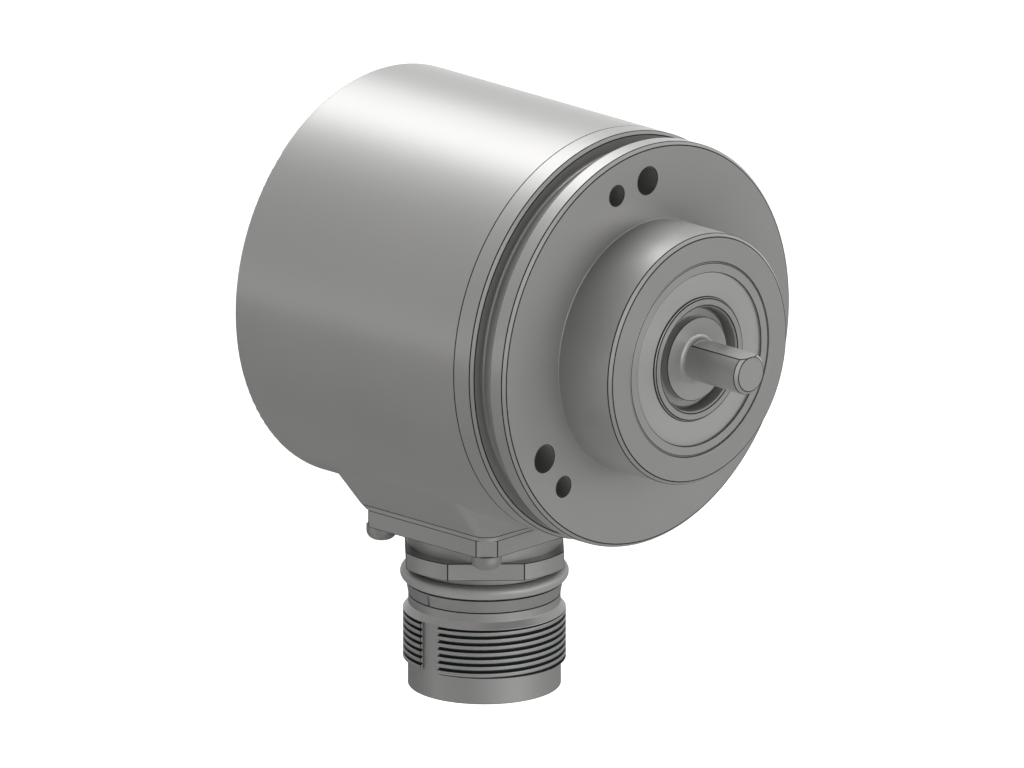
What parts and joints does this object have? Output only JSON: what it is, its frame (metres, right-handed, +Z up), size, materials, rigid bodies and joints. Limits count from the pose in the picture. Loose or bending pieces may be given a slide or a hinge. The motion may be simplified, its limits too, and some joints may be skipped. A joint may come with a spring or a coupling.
{
  "type": "absolute rotary encoder",
  "caption": "Round absolute rotary encoder with a clamping flange and pilot spigot, a solid flatted shaft on sealed ball bearings, and a threaded round connector on its side.",
  "frame": {"origin": "centre of the flange's mounting face, on the shaft axis", "axes": "+X out along the shaft, +Z up, and the connector points to -Z"},
  "size_m": [0.072, 0.0584, 0.0854],
  "materials": {
    "flange_aluminium": "turned, satin clear anodised",
    "cover_aluminium": "satin clear anodised",
    "bearing_steel": "ground and polished",
    "stainless_shaft": "fine turned stainless",
    "spring_steel": "dark rolled strip",
    "screw_steel": "stainless",
    "plated_brass": "satin nickel plated",
    "gold_contact": "gold plated",
    "seal_rubber": "moulded grey rubber",
    "bearing_seal": "grey rubber over steel",
    "cage_nylon": "moulded nylon",
    "insulator_plastic": "moulded",
    "carrier_plastic": "moulded",
    "disc_glass": "polished, with chrome tracks",
    "lamp_glass": "clear epoxy",
    "circuit_board": "green solder mask",
    "chip_plastic": "moulded epoxy",
    "flex_film": "amber film"
  },
  "bodies": {
    "housing": {"flange_body": "flange_aluminium", "housing_cover": "cover_aluminium", "cover_seal": "seal_rubber", "cover_screws": "screw_steel", "front_bearing_outer_ring": "bearing_steel", "front_bearing_seals": "bearing_seal", "rear_bearing_outer_ring": "bearing_steel", "rear_bearing_seals": "bearing_seal", "preload_washer": "spring_steel", "light_carrier": "carrier_plastic", "light_source": "lamp_glass", "scan_reticle": "disc_glass", "scan_chip": "chip_plastic", "scan_board": "circuit_board", "main_board": "circuit_board", "front_pillars": "plated_brass", "middle_pillars": "plated_brass", "rear_pillars": "plated_brass", "board_link": "chip_plastic", "board_chips": "chip_plastic", "connector_shell": "plated_brass", "connector_seal": "seal_rubber", "connector_screws": "screw_steel", "connector_o_ring": "seal_rubber", "connector_snap_ring": "plated_brass", "connector_insert": "insulator_plastic", "outer_contacts": "gold_contact", "inner_contacts": "gold_contact", "terminal_board": "circuit_board", "flex_lead": "flex_film", "flex_socket": "chip_plastic"},
    "rotor": {"shaft": "stainless_shaft", "front_bearing_inner_ring": "bearing_steel", "rear_bearing_inner_ring": "bearing_steel", "retaining_ring": "spring_steel", "disc_hub": "flange_aluminium", "code_disc": "disc_glass", "disc_clamp_ring": "flange_aluminium", "hub_screw": "screw_steel"},
    "front_ball_set": {"front_bearing_balls": "bearing_steel", "front_bearing_cage": "cage_nylon"},
    "rear_ball_set": {"rear_bearing_balls": "bearing_steel", "rear_bearing_cage": "cage_nylon"}
  },
  "joints": [
    {"name": "shaft_spin", "type": "hinge", "parent": "housing", "child": "rotor", "pos_m": [0, 0, 0], "axis": [1, 0, 0], "continuous": true},
    {"name": "front_balls_spin", "type": "hinge", "parent": "housing", "child": "front_ball_set", "pos_m": [0.0065, 0, 0], "axis": [1, 0, 0], "continuous": true},
    {"name": "rear_balls_spin", "type": "hinge", "parent": "housing", "child": "rear_ball_set", "pos_m": [-0.011, 0, 0], "axis": [1, 0, 0], "continuous": true}
  ],
  "couplings": [
    {"joint": "front_balls_spin", "follows": "shaft_spin", "ratio": 0.41861},
    {"joint": "rear_balls_spin", "follows": "shaft_spin", "ratio": 0.41667}
  ]
}
